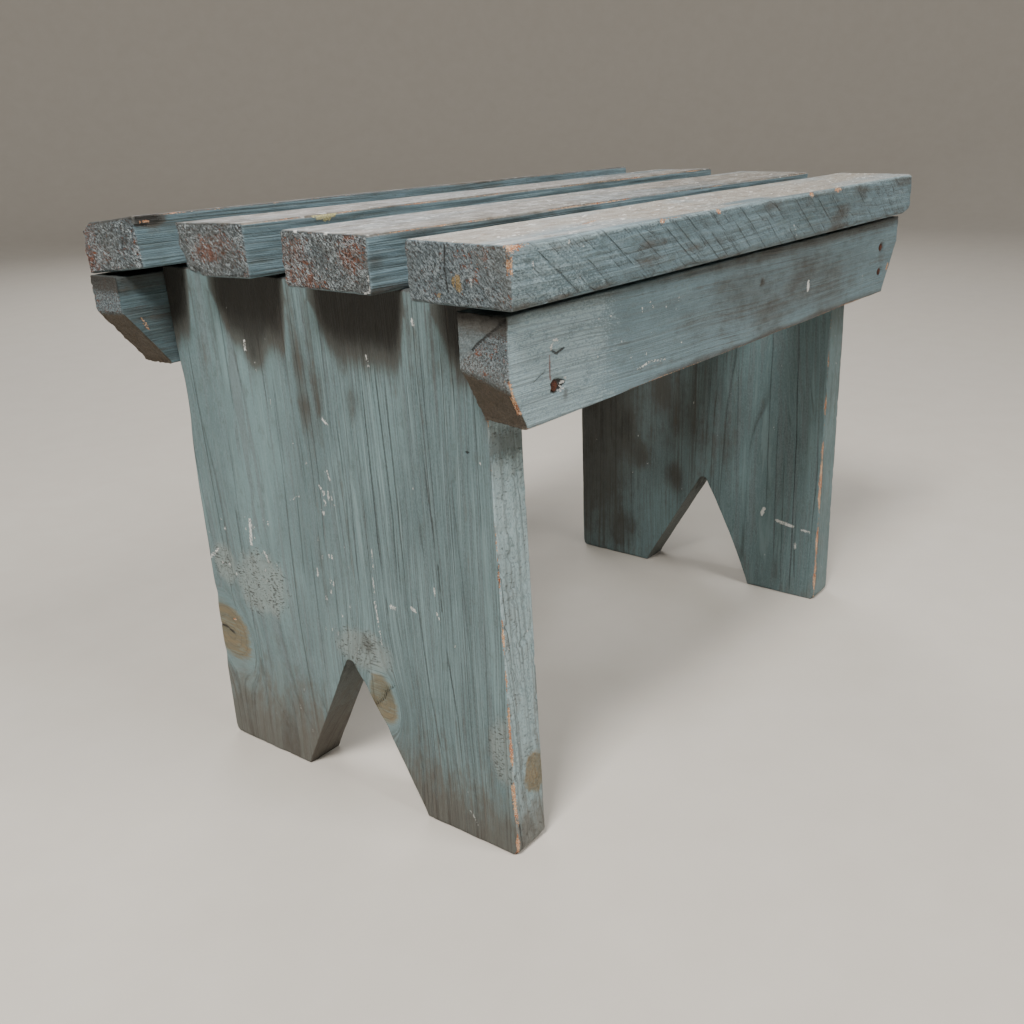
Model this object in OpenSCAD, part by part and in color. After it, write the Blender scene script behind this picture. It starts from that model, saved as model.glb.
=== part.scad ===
// Nailed slatted step stool.
// X runs along the slats, Y across the seat from front to back, Z up.
// The origin is at the middle of the footprint, on the floor.

/* [Seat] */
// Length of the seat slats
seat_l = 370; // [300:1:450]
// Thickness of the seat slats
slat_t = 20.5; // [16:0.5:24]
// Width of the front slat
front_slat_w = 45; // [38:0.5:50]
// Width of the front middle slat
front_middle_slat_w = 45; // [38:0.5:50]
// Width of the back middle slat
back_middle_slat_w = 41; // [36:0.5:46]
// Width of the back slat
back_slat_w = 40; // [36:0.5:44]
// Gap between one slat and the next
slat_gap = 20; // [16:0.5:22]
// How far the left ends of the two middle slats stand back from the front slat's
middle_slat_setback = 2; // [0:0.5:5]
// How far the back slat is shifted to the left of the front slat
back_slat_shift = 2.5; // [0:0.5:4]
// How far the front edge of the back middle slat is tipped up, in degrees
middle_slat_tip = 2; // [0:0.5:3]
// How far the front slat stands out past the front edges of the legs
front_overhang = 28; // [24:0.5:34]
// Wear along the long edges of the slats
slat_arris = 1; // [0.4:0.1:2]
// Size of the waney lower edge of the back middle slat
waney_edge = 6; // [1:0.5:8]
// Size of the worn upper edge of the back slat
round_edge = 3; // [1:0.5:6]

/* [Legs] */
// Height of the legs, which is the height of the slats' underside
leg_h = 239; // [180:1:300]
// Thickness of the leg planks
leg_t = 20; // [16:0.5:26]
// Width of the leg planks at the rails
leg_w = 181; // [170:1:190]
// Distance from the front slat's end to the outer face of the leg
leg_inset = 18; // [12:0.5:30]
// How much wider the left leg gets towards the floor, at the back
left_back_flare = 7; // [0:0.5:12]
// How much wider the right leg gets towards the floor, at the back
right_back_flare = 1; // [0:0.5:12]
// How much wider both legs get towards the floor, at the front
front_flare = 3; // [0:0.5:8]
// Height of the V notch in the foot
notch_h = 69.5; // [40:0.5:90]
// Width of the V notch at the floor
notch_w = 79; // [50:1:100]
// How far the foot's corners are worn off
foot_wear = 2.5; // [0:0.5:5]

/* [Rails] */
// Depth of the side rails
rail_h = 40.5; // [34:0.5:50]
// Thickness of the front rail
front_rail_t = 22; // [18:0.5:26]
// Thickness of the back rail
back_rail_t = 19; // [16:0.5:26]
// How far the rails sit below the tops of the legs
rail_drop = 2.2; // [1:0.1:3]
// How far the front rail's left end stands back from the front slat's
front_rail_inset = 4; // [0:0.5:8]
// How far the back rail's left end stands out past the front slat's
back_rail_proud = 5; // [3:0.5:8]
// How far the right ends of both rails stand back from the front slat's
rail_right_inset = 2; // [0:0.5:8]

/* [Nails] */
// Diameter of the nail shank
nail_d = 2.6; // [2:0.1:3.4]
// Diameter of the nail head
nail_head_d = 4.2; // [3.6:0.1:6]
// Length of the nails
nail_l = 48; // [40:1:55]

/* [Hidden] */

$fn = 32;
eps = 0.01;
teal = "#5f7e83";
iron = "#5a4238";

// The front slat's ends. The back rail's left end and the front slat's right end are the
// furthest apart of all the pieces, and the origin is midway between them.
seat_left_x = (back_rail_proud - seat_l) / 2;
seat_right_x = seat_left_x + seat_l;

// The back slat leans outwards, from the leg's back corner down to the rail's outer edge
back_slat_tip = atan(rail_drop / back_rail_t);

// Width of the four slats and their gaps laid flat, and how much of it is past the legs' backs
slats_w = front_slat_w + front_middle_slat_w + back_middle_slat_w + back_slat_w + 3 * slat_gap;
back_overhang = slats_w - front_overhang - leg_w;

// Width over everything, which the origin is midway across
overall_w = front_overhang + leg_w + back_overhang * cos(back_slat_tip)
            + (slat_t - round_edge) * sin(back_slat_tip);

// Slat edges across the seat, front to back
front_slat_y = -overall_w / 2;
front_middle_slat_y = front_slat_y + front_slat_w + slat_gap;
back_middle_slat_y = front_middle_slat_y + front_middle_slat_w + slat_gap;
back_slat_y = back_middle_slat_y + back_middle_slat_w + slat_gap;

// Leg edges and the feet
leg_front_y = front_slat_y + front_overhang;
leg_back_y = leg_front_y + leg_w;
flare_top_z = leg_h - 49;
left_leg_x = seat_left_x + leg_inset;
right_leg_x = seat_right_x - leg_inset - leg_t;
left_notch_y = leg_front_y + 94;
right_notch_y = leg_front_y + 84;
left_notch_skew = 3.5;
right_notch_skew = -2;
notch_blunt = 4;
notch_bow = 1.6;
notch_steps = 6;

// Rails, measured from the tops of the legs down
rail_top_z = leg_h - rail_drop;
rail_bottom_z = rail_top_z - rail_h;
rail_arris = 0.8;
front_rail_y = leg_front_y - front_rail_t;
front_rail_left_x = seat_left_x + front_rail_inset;
back_rail_left_x = seat_left_x - back_rail_proud;
rail_right_x = seat_right_x - rail_right_inset;

// Sawn-off lower corners of the rails: run along X, rise up Z and sideways tilt of the cut
front_rail_left_cut = [10.7, 18.7, 7.5];
front_rail_right_cut = [18.5, 27.5, 3];
back_rail_left_cut = [20, 25.5, -2];
back_rail_right_cut = [18.5, 26, -3];
cut_block = 60;

// Nails: through the slats a little off the legs' middle, through the rails a little inside it
slat_nail_shift = -3.2;
rail_nail_shift = 2.2;
rail_nail_z = [leg_h - 17, leg_h - 30.5];
nail_head_h = 1.2;
nail_tip_l = 4;
nail_tip_d = 0.4;
nail_sink = 0.4;
nail_dent_h = 1;
nail_places = [0.27, 0.73];

// A board with worn long edges, lying from the origin along +X, +Y and +Z.
// worn is how much is taken off the bottom front, bottom back, top back and top front edges.
module board(l, w, h, worn) {
    rotate([90, 0, 90])
        linear_extrude(l)
            polygon([[worn[0], 0], [w - worn[1], 0], [w, worn[1]], [w, h - worn[2]],
                     [w - worn[2], h], [worn[3], h], [0, h - worn[3]], [0, worn[0]]]);
}

// One nail, the top of its head at the origin and its point down -Z
module nail() {
    translate([0, 0, -nail_head_h])
        cylinder(d = nail_head_d, h = nail_head_h);
    translate([0, 0, nail_tip_l - nail_l])
        cylinder(d = nail_d, h = nail_l - nail_tip_l - nail_head_h + eps);
    translate([0, 0, -nail_l])
        cylinder(d1 = nail_tip_d, d2 = nail_d, h = nail_tip_l + eps);
}

// The dent above a nail's head
module nail_dent() {
    translate([0, 0, -eps])
        cylinder(d = nail_head_d, h = nail_dent_h + nail_sink);
}

// Repeats its children at a slat's four nail heads, in the frame of a slat w wide from start_x
module at_slat_heads(w, start_x) {
    for (leg_x = [left_leg_x, right_leg_x], place = nail_places)
        translate([leg_x + leg_t / 2 + slat_nail_shift - start_x, w * place, slat_t - nail_sink])
            children();
}

// Repeats its children at the four nail heads of a rail whose outer face is at y.
// side is -1 for the front rail and 1 for the back rail.
module at_rail_heads(y, side) {
    for (leg_x = [left_leg_x, right_leg_x], z = rail_nail_z)
        translate([leg_x + leg_t / 2 + rail_nail_shift, y - side * nail_sink, z])
            rotate([side * -90, 0, 0])
                children();
}

// Places of the four slats on the legs
module at_front_slat() {
    translate([seat_left_x, front_slat_y, leg_h])
        children();
}

module at_front_middle_slat() {
    translate([seat_left_x + middle_slat_setback, front_middle_slat_y, leg_h])
        children();
}

// The back middle slat rests on its back edge, because of its waney corner
module at_back_middle_slat() {
    translate([seat_left_x + middle_slat_setback, back_middle_slat_y + back_middle_slat_w, leg_h])
        rotate([-middle_slat_tip, 0, 0])
            translate([0, -back_middle_slat_w, 0])
                children();
}

// The back slat is tipped about the back corner of the legs
module at_back_slat() {
    translate([seat_left_x - back_slat_shift, leg_back_y, leg_h])
        rotate([-back_slat_tip, 0, 0])
            translate([0, back_slat_y - leg_back_y, 0])
                children();
}

// A slat with its nail pockets
module slat(l, w, start_x, worn) {
    difference() {
        board(l, w, slat_t, worn);
        at_slat_heads(w, start_x) {
            nail();
            nail_dent();
        }
    }
}

module front_slat() {
    color(teal)
        at_front_slat()
            slat(seat_l, front_slat_w, seat_left_x, [slat_arris, slat_arris, slat_arris, slat_arris]);
}

module front_middle_slat() {
    color(teal)
        at_front_middle_slat()
            slat(seat_l - middle_slat_setback, front_middle_slat_w, seat_left_x + middle_slat_setback,
                 [slat_arris, slat_arris, slat_arris, slat_arris]);
}

// The lower back edge is waney
module back_middle_slat() {
    color(teal)
        at_back_middle_slat()
            slat(seat_l - middle_slat_setback, back_middle_slat_w, seat_left_x + middle_slat_setback,
                 [slat_arris, waney_edge, slat_arris, slat_arris]);
}

// The upper outer edge is worn round
module back_slat() {
    color(teal)
        at_back_slat()
            slat(seat_l, back_slat_w, seat_left_x - back_slat_shift,
                 [slat_arris, slat_arris, round_edge, slat_arris]);
}

module front_slat_nails() {
    color(iron)
        at_front_slat()
            at_slat_heads(front_slat_w, seat_left_x)
                nail();
}

module front_middle_slat_nails() {
    color(iron)
        at_front_middle_slat()
            at_slat_heads(front_middle_slat_w, seat_left_x + middle_slat_setback)
                nail();
}

module back_middle_slat_nails() {
    color(iron)
        at_back_middle_slat()
            at_slat_heads(back_middle_slat_w, seat_left_x + middle_slat_setback)
                nail();
}

module back_slat_nails() {
    color(iron)
        at_back_slat()
            at_slat_heads(back_slat_w, seat_left_x - back_slat_shift)
                nail();
}

module front_rail_nails() {
    color(iron)
        at_rail_heads(front_rail_y, -1)
            nail();
}

module back_rail_nails() {
    color(iron)
        at_rail_heads(leg_back_y + back_rail_t, 1)
            nail();
}

// Takes off the lower corner of a rail that runs from the origin along +X and +Z
module corner_cut(cut) {
    translate([0, 0, cut[1]])
        rotate([cut[2], atan(cut[1] / cut[0]), 0])
            translate([-cut_block / 2, -cut_block / 2, -cut_block])
                cube([2 * cut_block, cut_block, cut_block]);
}

// A rail t thick from x0 to x1, its front face at y, with its two lower corners cut off
module rail(x0, x1, y, t, left_cut, right_cut) {
    worn = [rail_arris, rail_arris, rail_arris, rail_arris];
    difference() {
        translate([x0, y, rail_bottom_z])
            board(x1 - x0, t, rail_h, worn);
        translate([x0, y + t / 2, rail_bottom_z])
            corner_cut(left_cut);
        translate([x1, y + t / 2, rail_bottom_z])
            mirror([1, 0, 0])
                corner_cut(right_cut);
    }
}

module front_rail() {
    color(teal)
        difference() {
            rail(front_rail_left_x, rail_right_x, front_rail_y, front_rail_t,
                 front_rail_left_cut, front_rail_right_cut);
            at_rail_heads(front_rail_y, -1) {
                nail();
                nail_dent();
            }
            front_slat_nails();
        }
}

module back_rail() {
    color(teal)
        difference() {
            rail(back_rail_left_x, rail_right_x, leg_back_y, back_rail_t,
                 back_rail_left_cut, back_rail_right_cut);
            at_rail_heads(leg_back_y + back_rail_t, 1) {
                nail();
                nail_dent();
            }
            back_slat_nails();
        }
}

// Front side of the V notch, from its blunt top down to the floor, as [y, z] points
function notch_front(notch_y, reach) = [
    for (i = [0 : notch_steps])
        let (s = i / notch_steps)
            [notch_y - notch_blunt - (reach - notch_blunt) * s - notch_bow * sin(180 * s),
             notch_h * (1 - s)]
];

// Outline of a leg seen from its end, as [y, z] points, going down its front edge first
function leg_outline(back_flare, notch_y, notch_skew) = concat(
    [[leg_front_y, leg_h],
     [leg_front_y, flare_top_z],
     [leg_front_y - front_flare, foot_wear],
     [leg_front_y - front_flare + foot_wear, 0]],
    reverse(notch_front(notch_y, notch_w / 2 + notch_skew)),
    [[notch_y, notch_h],
     [notch_y + notch_w / 2 - notch_skew, 0],
     [leg_back_y + back_flare - foot_wear, 0],
     [leg_back_y + back_flare, foot_wear],
     [leg_back_y, flare_top_z],
     [leg_back_y, leg_h]]
);

function reverse(points) = [for (i = [len(points) - 1 : -1 : 0]) points[i]];

// A leg plank from x, without the nails that go into it
module leg(x, back_flare, notch_y, notch_skew) {
    difference() {
        translate([x, 0, 0])
            rotate([90, 0, 90])
                linear_extrude(leg_t)
                    polygon(leg_outline(back_flare, notch_y, notch_skew));
        front_slat_nails();
        front_middle_slat_nails();
        back_middle_slat_nails();
        back_slat_nails();
        front_rail_nails();
        back_rail_nails();
    }
}

module left_leg() {
    color(teal)
        leg(left_leg_x, left_back_flare, left_notch_y, left_notch_skew);
}

module right_leg() {
    color(teal)
        leg(right_leg_x, right_back_flare, right_notch_y, right_notch_skew);
}

front_slat();
front_middle_slat();
back_middle_slat();
back_slat();
front_rail();
back_rail();
left_leg();
right_leg();
front_rail_nails();
back_rail_nails();
front_slat_nails();
front_middle_slat_nails();
back_middle_slat_nails();
back_slat_nails();
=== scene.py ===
"""Looks of the nailed step stool: weathered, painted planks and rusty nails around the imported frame."""
import math

import bmesh
import bpy
import numpy as np
from mathutils import Matrix, Vector
from mathutils.bvhtree import BVHTree


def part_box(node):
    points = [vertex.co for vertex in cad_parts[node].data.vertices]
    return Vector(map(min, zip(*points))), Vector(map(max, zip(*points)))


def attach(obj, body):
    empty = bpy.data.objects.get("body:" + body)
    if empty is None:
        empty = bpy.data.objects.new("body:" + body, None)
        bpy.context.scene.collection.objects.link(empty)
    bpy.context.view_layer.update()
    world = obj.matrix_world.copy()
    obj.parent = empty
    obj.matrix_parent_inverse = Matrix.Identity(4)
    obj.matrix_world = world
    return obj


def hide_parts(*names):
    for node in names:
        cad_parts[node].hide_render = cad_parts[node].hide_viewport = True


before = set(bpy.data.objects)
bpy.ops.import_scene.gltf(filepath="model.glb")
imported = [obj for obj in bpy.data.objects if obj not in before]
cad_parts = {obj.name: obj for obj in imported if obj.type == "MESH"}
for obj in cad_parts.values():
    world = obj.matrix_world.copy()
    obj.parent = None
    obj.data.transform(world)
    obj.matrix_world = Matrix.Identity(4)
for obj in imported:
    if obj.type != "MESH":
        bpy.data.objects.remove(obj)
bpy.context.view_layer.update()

MM = 0.001

# Camera: place, axes and lens of the photograph's view
CAMERA_PLACE = (-0.44938, -0.33191, 0.29865)
CAMERA_RIGHT = (0.57233, -0.81980, -0.01935)
CAMERA_UP = (0.35460, 0.22615, 0.90726)
CAMERA_LENS = 37.13
CAMERA_SHIFT = (-0.070, 0.080)

# ---------------------------------------------------------------- noise

NOISE_CELLS = 32
NOISE_TABLE = np.random.default_rng(11).uniform(-1, 1, (NOISE_CELLS,) * 3)


def noise(points, size, seed, octaves=1):
    """Smooth noise, -1 to 1, at (n, 3) points in mm. size is how big its blobs are along each axis."""
    place = points / np.array(size, float) + seed * 7.31
    total = np.zeros(len(points))
    weight = 1.0
    for _ in range(octaves):
        cell = np.floor(place).astype(int)
        part = place - cell
        part = part * part * (3 - 2 * part)
        for corner in np.ndindex(2, 2, 2):
            share = np.prod(np.where(corner, part, 1 - part), axis=1)
            i, j, k = ((cell + corner) % NOISE_CELLS).T
            total += weight * share * NOISE_TABLE[i, j, k]
        weight *= 0.5
        place = place * 2.03 + 11.7
    return total


def smooth(x, low, high):
    """0 below low and 1 above high, with a smooth step between them."""
    t = np.clip((x - low) / (high - low), 0, 1)
    return t * t * (3 - 2 * t)


# ---------------------------------------------------------------- planks

# How far outside a board its measuring rays start, in mm, and how many places its edges are measured at
CLEAR = 10.0
EDGE_SAMPLES = 120


def stations(length, coarse, fine, spots):
    """Places from 0 to length, fine apart at the spots and at most coarse apart between them."""
    growth = 0.2
    places = [0.0]
    while places[-1] < length:
        gap = min(abs(places[-1] - spot) for spot in spots)
        places.append(places[-1] + min(coarse, fine + growth * gap))
    return np.array(places) * length / places[-1]


def box_lattice(counts):
    """Indices (n, 3) of the surface points of a box lattice, and its faces, which look outwards."""
    on_surface = np.ones(counts, bool)
    on_surface[1:-1, 1:-1, 1:-1] = False
    ids = np.full(counts, -1)
    ids[on_surface] = np.arange(on_surface.sum())
    sheets = ((ids[0], True), (ids[-1], False), (ids[:, 0], False),
              (ids[:, -1], True), (ids[:, :, 0], True), (ids[:, :, -1], False))
    faces = []
    for sheet, flip in sheets:
        quads = np.stack([sheet[:-1, :-1], sheet[1:, :-1], sheet[1:, 1:], sheet[:-1, 1:]], -1)
        quads = quads.reshape(-1, 4)
        faces.append(quads[:, ::-1] if flip else quads)
    return np.argwhere(on_surface), np.concatenate(faces)


def vertex_normals(points, faces):
    """Outward unit normals of a mesh of quads."""
    corner = points[faces]
    face_normal = np.cross(corner[:, 2] - corner[:, 0], corner[:, 3] - corner[:, 1])
    normal = np.zeros_like(points)
    for axis in range(3):
        for k in range(4):
            normal[:, axis] += np.bincount(faces[:, k], face_normal[:, axis], len(points))
    return normal / np.maximum(np.linalg.norm(normal, axis=1, keepdims=True), 1e-9)


class Plank:
    """A board in its own frame, in mm: a along the grain, b across its width, c through its thickness.

    The frame, the size, the sawn ends and the outline all come from the CAD node's mesh.
    """

    def __init__(self, node, along, face, seed, spots=((), (), ()), steps=(2.0, 0.9, 0.7),
                 shaped_start=False, shaped_end=False, shaped_edges=False):
        self.node = node
        self.seed = seed
        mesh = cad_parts[node].data
        normals = [(p.area, p.normal) for p in mesh.polygons if p.normal.dot(Vector(face)) > 0.9]
        ec = max(normals, key=lambda row: row[0])[1].normalized()
        ea = (Vector(along) - Vector(along).dot(ec) * ec).normalized()
        self.axes = np.array([ea, ec.cross(ea), ec])
        world = np.array([v.co for v in mesh.vertices]) / MM
        local = world @ self.axes.T
        self.low = local.min(0)
        self.size = local.max(0) - self.low
        local -= self.low
        self.tree = BVHTree.FromPolygons([Vector(p) for p in local],
                                         [tuple(p.vertices) for p in mesh.polygons])
        la, lb, lc = self.size
        self.a_places = stations(la, steps[0], 0.5, [0, la, *spots[0]])
        self.b_places = stations(lb, steps[1], 0.35, [0, lb, *spots[1]])
        self.c_places = stations(lc, steps[2], 0.35, [0, lc, *spots[2]])
        counts = (len(self.a_places), len(self.b_places), len(self.c_places))
        self.lattice, self.faces = box_lattice(counts)
        self.shape(shaped_start, shaped_end, shaped_edges)
        self.masks = {}

    def hit(self, start, direction):
        """The place where a ray first meets the CAD solid, or None."""
        return self.tree.ray_cast(Vector(start), Vector(direction))[0]

    def end_profile(self, from_start, b_places):
        """Where the grain line at each (b, c) place starts or ends, measured on the CAD solid."""
        inset = 1.6
        la, lb, lc = self.size
        nominal = 0.0 if from_start else la
        outside = -CLEAR if from_start else la + CLEAR
        direction = (1, 0, 0) if from_start else (-1, 0, 0)
        profile = np.full((len(b_places), len(self.c_places)), nominal)
        for j, b in enumerate(b_places):
            for k, c in enumerate(self.c_places):
                ray = (outside, np.clip(b, inset, lb - inset), np.clip(c, inset, lc - inset))
                place = self.hit(ray, direction)
                if place is not None:
                    profile[j, k] = place[0]
        return profile

    def edge_profile(self, places):
        """Lowest and highest b of the CAD solid at each place along the grain."""
        la, lb, lc = self.size
        low, high = np.zeros(len(places)), np.full(len(places), lb)
        for n, a in enumerate(places):
            a = np.clip(a, 0.5, la - 0.5)
            low[n] = self.hit((a, -CLEAR, lc / 2), (0, 1, 0))[1]
            high[n] = self.hit((a, lb + CLEAR, lc / 2), (0, -1, 0))[1]
        return low, high

    def shape(self, shaped_start, shaped_end, shaped_edges):
        """Sets each vertex's nominal point, in a plain box, and how the CAD solid's outline moves it."""
        la, lb, _ = self.size
        i, j, k = self.lattice.T
        self.nominal = np.stack([self.a_places[i], self.b_places[j], self.c_places[k]], -1)
        samples = np.linspace(0, la, EDGE_SAMPLES)
        low, high = np.zeros(EDGE_SAMPLES), np.full(EDGE_SAMPLES, lb)
        if shaped_edges:
            low, high = self.edge_profile(samples)
        floor_b = low[0] + self.b_places * (high[0] - low[0]) / lb
        start = np.zeros((len(self.b_places), len(self.c_places)))
        if shaped_start:
            start = self.end_profile(True, floor_b)
        end = self.end_profile(False, self.b_places) if shaped_end else np.full(start.shape, la)
        self.start = start[j, k]
        self.cut_off = np.where(self.nominal[:, 0] < la / 2, start[j, k], la - end[j, k])
        self.length = (end - start)[j, k]
        self.edge_samples = (samples, low, high)

    def place(self, nominal):
        """Real points of nominal ones."""
        samples, low, high = self.edge_samples
        la, lb, _ = self.size
        a = self.start + nominal[:, 0] * self.length / la
        low_b = np.interp(a, samples, low)
        high_b = np.interp(a, samples, high)
        return np.stack([a, low_b + nominal[:, 1] * (high_b - low_b) / lb, nominal[:, 2]], -1)

    def round_edges(self, radius, most):
        """Rounds all edges to an uneven radius, up to most, and notes which points are on an end."""
        r = radius * (1 + 0.45 * noise(self.nominal, (18, 6, 6), self.seed + 3, 2))
        r = np.clip(r, 0.35, most)[:, None]
        inner = np.clip(self.nominal, r, self.size - r)
        out = self.nominal - inner
        reach = np.linalg.norm(out, axis=1, keepdims=True)
        self.points = self.place(inner + out * r / np.maximum(reach, 1e-9))
        self.a, self.b, self.c = self.points.T
        self.end_gap = np.minimum(self.nominal[:, 0], self.size[0] - self.nominal[:, 0])
        self.end = 1 - smooth(self.end_gap, 0.3, 1.2)
        self.near_half = self.a < self.size[0] / 2

    def edge_gap(self):
        """Distance from each point to the nearest edge of the board."""
        gaps = np.sort(np.minimum(self.nominal, self.size - self.nominal), axis=1)
        return gaps[:, 1]

    def press(self, depth):
        """Moves the surface inwards by depth, in mm."""
        normals = vertex_normals(self.points, self.faces)
        self.points = np.clip(self.points - normals * np.maximum(depth, 0)[:, None], 0, self.size)

    def build(self, material):
        """Makes the Blender object, which stands for the CAD node."""
        world = (self.points + self.low) @ self.axes * MM
        mesh = bpy.data.meshes.new(self.node + "_wood")
        mesh.from_pydata(world.tolist(), [], self.faces.tolist())
        mesh.polygons.foreach_set("use_smooth", np.ones(len(self.faces), bool))
        for name, values in self.masks.items():
            kind, field = ("FLOAT_VECTOR", "vector") if values.ndim == 2 else ("FLOAT", "value")
            layer = mesh.attributes.new(name, kind, "POINT")
            layer.data.foreach_set(field, values.astype(np.float32).ravel())
        mesh.materials.append(material)
        piece = bpy.data.objects.new(self.node + "_wood", mesh)
        bpy.context.scene.collection.objects.link(piece)
        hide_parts(self.node)
        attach(piece, "root")
        return piece


# ---------------------------------------------------------------- surface marks

OUTSIDE = -9.0


def ellipse(first, second, centre, radii, turn=0):
    """1 at the centre of an ellipse, 0 at its rim and negative outside."""
    da, db = first - centre[0], second - centre[1]
    cos, sin = math.cos(math.radians(turn)), math.sin(math.radians(turn))
    return 1 - np.hypot((cos * da + sin * db) / radii[0], (cos * db - sin * da) / radii[1])


def stroke(first, second, line, width):
    """How far inside a stroke of that width along a line each place is, in mm."""
    place = np.stack([first, second], -1)
    best = np.full(len(place), OUTSIDE)
    for start, end in zip(line[:-1], line[1:]):
        start = np.array(start, float)
        along = np.array(end, float) - start
        t = np.clip((place - start) @ along / max(along @ along, 1e-6), 0, 1)
        best = np.maximum(best, width / 2 - np.linalg.norm(place - start - t[:, None] * along, axis=1))
    return best


def marks(first, second, where, strokes):
    """The strokes, as (width, point, point, ...), on the surface where the mask is over a half."""
    best = np.full(len(first), OUTSIDE)
    for width, *line in strokes:
        line = line * 2 if len(line) == 1 else line
        best = np.maximum(best, stroke(first, second, line, width))
    return np.where(where > 0.5, best, OUTSIDE)


def spread(seed, count, first, second, sizes):
    """Seeded strokes: short flecks over the given area, longer along the grain."""
    draw = np.random.default_rng(seed)
    strokes = []
    for _ in range(count):
        a, b = draw.uniform(*first), draw.uniform(*second)
        length, lean = draw.uniform(0, 2.2), draw.uniform(-0.5, 0.5)
        strokes.append((draw.uniform(*sizes), (a, b), (a + length, b + lean)))
    return strokes


def set_grain(plank, pith, knots=(), sway=3.0):
    """Sets the wood's coordinates and its growth rings', in mm, both bent round the knots.

    The rings are centred on the pith, a line beside the board at (b, c).
    """
    a, b, c = plank.points.T
    along = np.stack([a, b * 0, c * 0], -1)
    b = b + sway * noise(along, (140, 1, 1), plank.seed)
    b = b + 0.8 * noise(plank.points, (50, 16, 16), plank.seed + 1)
    for centre, radii, turn in knots:
        reach = 1 - ellipse(plank.a, plank.b, centre, (radii[0] * 1.25, radii[1]), turn)
        pull = np.exp(-np.maximum(reach - 1, 0) / 0.9) / np.maximum(reach, 1)
        b = b - 0.95 * (plank.b - centre[1]) * pull
    offset = plank.seed * 97.0
    plank.masks["wood"] = np.stack([a, b, c], -1) + offset
    ring = np.hypot(b - pith[0], c - pith[1]) + 1.2 * noise(plank.points, (120, 30, 30), plank.seed + 2)
    plank.masks["growth"] = np.stack([a + offset, ring, np.arctan2(b - pith[0], c - pith[1]) * 20], -1)


def set_masks(plank, **given):
    """Keeps the masks that painted_wood reads, in full for those not given.

    Splat, crack, blob and streak are how far inside a mark a point is, in mm, and knot is the same as a
    share of the knot. line_gap is a signed distance in mm. The others are strengths, from 0 upwards.
    """
    count = len(plank.points)
    plank.masks["sawn_end"] = (1 - smooth(plank.end_gap, 0.1, 0.9)) * given.pop("end_share", 1)
    for name in ("knot", "splat", "crack", "blob", "streak"):
        plank.masks[name] = given.get(name, np.full(count, OUTSIDE))
    for name in ("worn", "bare", "stain", "dust", "torn", "relief", "rust", "pale", "sawn_off", "raised",
                 "hairy", "kerf", "line_gap", "line_depth"):
        plank.masks[name] = given.get(name, np.zeros(count))


def grain_lines(plank, lines, seed, count):
    """Open grain lines: the signed distance to the nearest one, in mm, and how deep that one is, 0 to 1.

    The sign changes at each line, so the line stays sharp between the vertices. A line is
    (depth, point, ...) along the grain, and count seeded ones are added.
    """
    draw = np.random.default_rng(seed)
    la, lb, _ = plank.size
    for _ in range(count):
        start, reach, b = draw.uniform(-20, la - 20), draw.uniform(40, 150), draw.uniform(2, lb - 2)
        lines = lines + [(draw.uniform(0.25, 0.7), (start, b), (start + reach, b + draw.uniform(-2, 2)))]
    sign = np.ones(len(plank.a))
    nearest = np.full(len(plank.a), 9.0)
    depth = np.zeros(len(plank.a))
    wander = 0.5 * noise(np.stack([plank.a, plank.b * 0, plank.c * 0], -1), (25, 1, 1), seed, 2)
    for strength, *line in lines:
        line_a, line_b = zip(*sorted(line))
        off = plank.b + wander - np.interp(plank.a, line_a, line_b)
        here = smooth(plank.a, line_a[0] - 8, line_a[0] + 12)
        here = here * smooth(plank.a, line_a[-1] + 8, line_a[-1] - 12)
        sign *= np.where(off < 0, -1, 1)
        depth = np.where(np.abs(off) < nearest, strength * here, depth)
        nearest = np.minimum(nearest, np.abs(off))
    return sign * nearest, depth


def saw_lines(plank, places):
    """Slanting saw lines on a slat's front: signed distance to the nearest in mm, and depth, 0 to 1."""
    slant = plank.a * 0.57 + plank.c * 0.82
    slant = slant + 0.8 * noise(np.stack([plank.a, plank.b * 0, plank.c], -1), (30, 1, 12), plank.seed + 18)
    sign = np.ones(len(slant))
    nearest = np.full(len(slant), 9.0)
    for place in places:
        sign *= np.where(slant < place, -1, 1)
        nearest = np.minimum(nearest, np.abs(slant - place))
    depth = 0.62 * smooth(noise(plank.points, (9, 9, 5), plank.seed + 19), -0.4, 0.3)
    return sign * nearest, depth


def edge_wear(plank, amount, seed):
    """Bare wood along the edges: over 0 where the paint is gone. amount is how common it is."""
    runs = noise(plank.points, (16, 8, 8), seed, 2)
    return amount * 1.6 - 1.15 + 0.85 * runs - plank.edge_gap() / 1.2


def pits(plank, first, second, where, places):
    """Depth of ragged pits, as (first, second, inner radius, outer radius, depth, stretch along)."""
    depth = np.zeros(len(first))
    ragged = 0.6 * noise(plank.points, (1.8, 1.8, 1.8), plank.seed + 17)
    for p, q, inside, outside, deep, stretch in places:
        reach = np.hypot((first - p) / stretch, second - q) + ragged
        here = smooth(outside - reach, -0.3, 0.9) * smooth(reach, inside - 1.5, inside - 0.5)
        depth = np.maximum(depth, deep * here)
    return depth * where


# ---------------------------------------------------------------- materials

def rgb(code):
    """Linear colour, with alpha, of an sRGB code such as 0x5f7e83."""
    parts = [(code >> shift & 255) / 255 for shift in (16, 8, 0)]
    return (*(((v + 0.055) / 1.055) ** 2.4 if v > 0.04045 else v / 12.92 for v in parts), 1)


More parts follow.
